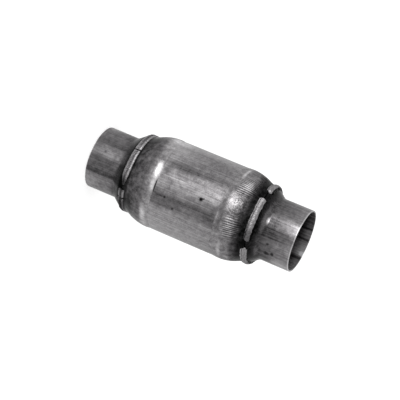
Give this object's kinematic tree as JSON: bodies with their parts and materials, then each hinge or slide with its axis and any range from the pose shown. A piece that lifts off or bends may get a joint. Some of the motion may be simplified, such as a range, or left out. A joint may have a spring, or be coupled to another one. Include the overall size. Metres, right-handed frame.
{
  "type": "catalytic converter",
  "caption": "Round spun-shell catalytic converter with stitch-welded pipe necks at both ends and a ceramic honeycomb wrapped in a mat inside.",
  "frame": {"origin": "centre of the inlet rim, on the surface that the converter stands on", "axes": "+Z along the gas path, from the inlet neck to the outlet neck; -Y is the side with the first outlet weld bead"},
  "size_m": [0.0986, 0.0986, 0.2367],
  "materials": {
    "shell_steel": "spun stainless steel, dulled and stained",
    "neck_steel": "drawn stainless tube with scratches along it",
    "weld_metal": "rippled weld metal, sooty at its edges",
    "cordierite": "dull coated ceramic",
    "mat_fibre": "pressed fibre mat"
  },
  "bodies": {
    "root": {"shell": "shell_steel", "inlet_neck": "neck_steel", "outlet_neck": "neck_steel", "substrate": "cordierite", "support_mat": "mat_fibre", "inlet_weld_bead_1": "weld_metal", "inlet_weld_bead_2": "weld_metal", "inlet_weld_bead_3": "weld_metal", "inlet_weld_bead_4": "weld_metal", "inlet_weld_bead_5": "weld_metal", "outlet_weld_bead_1": "weld_metal", "outlet_weld_bead_2": "weld_metal", "outlet_weld_bead_3": "weld_metal", "outlet_weld_bead_4": "weld_metal"}
  },
  "joints": []
}
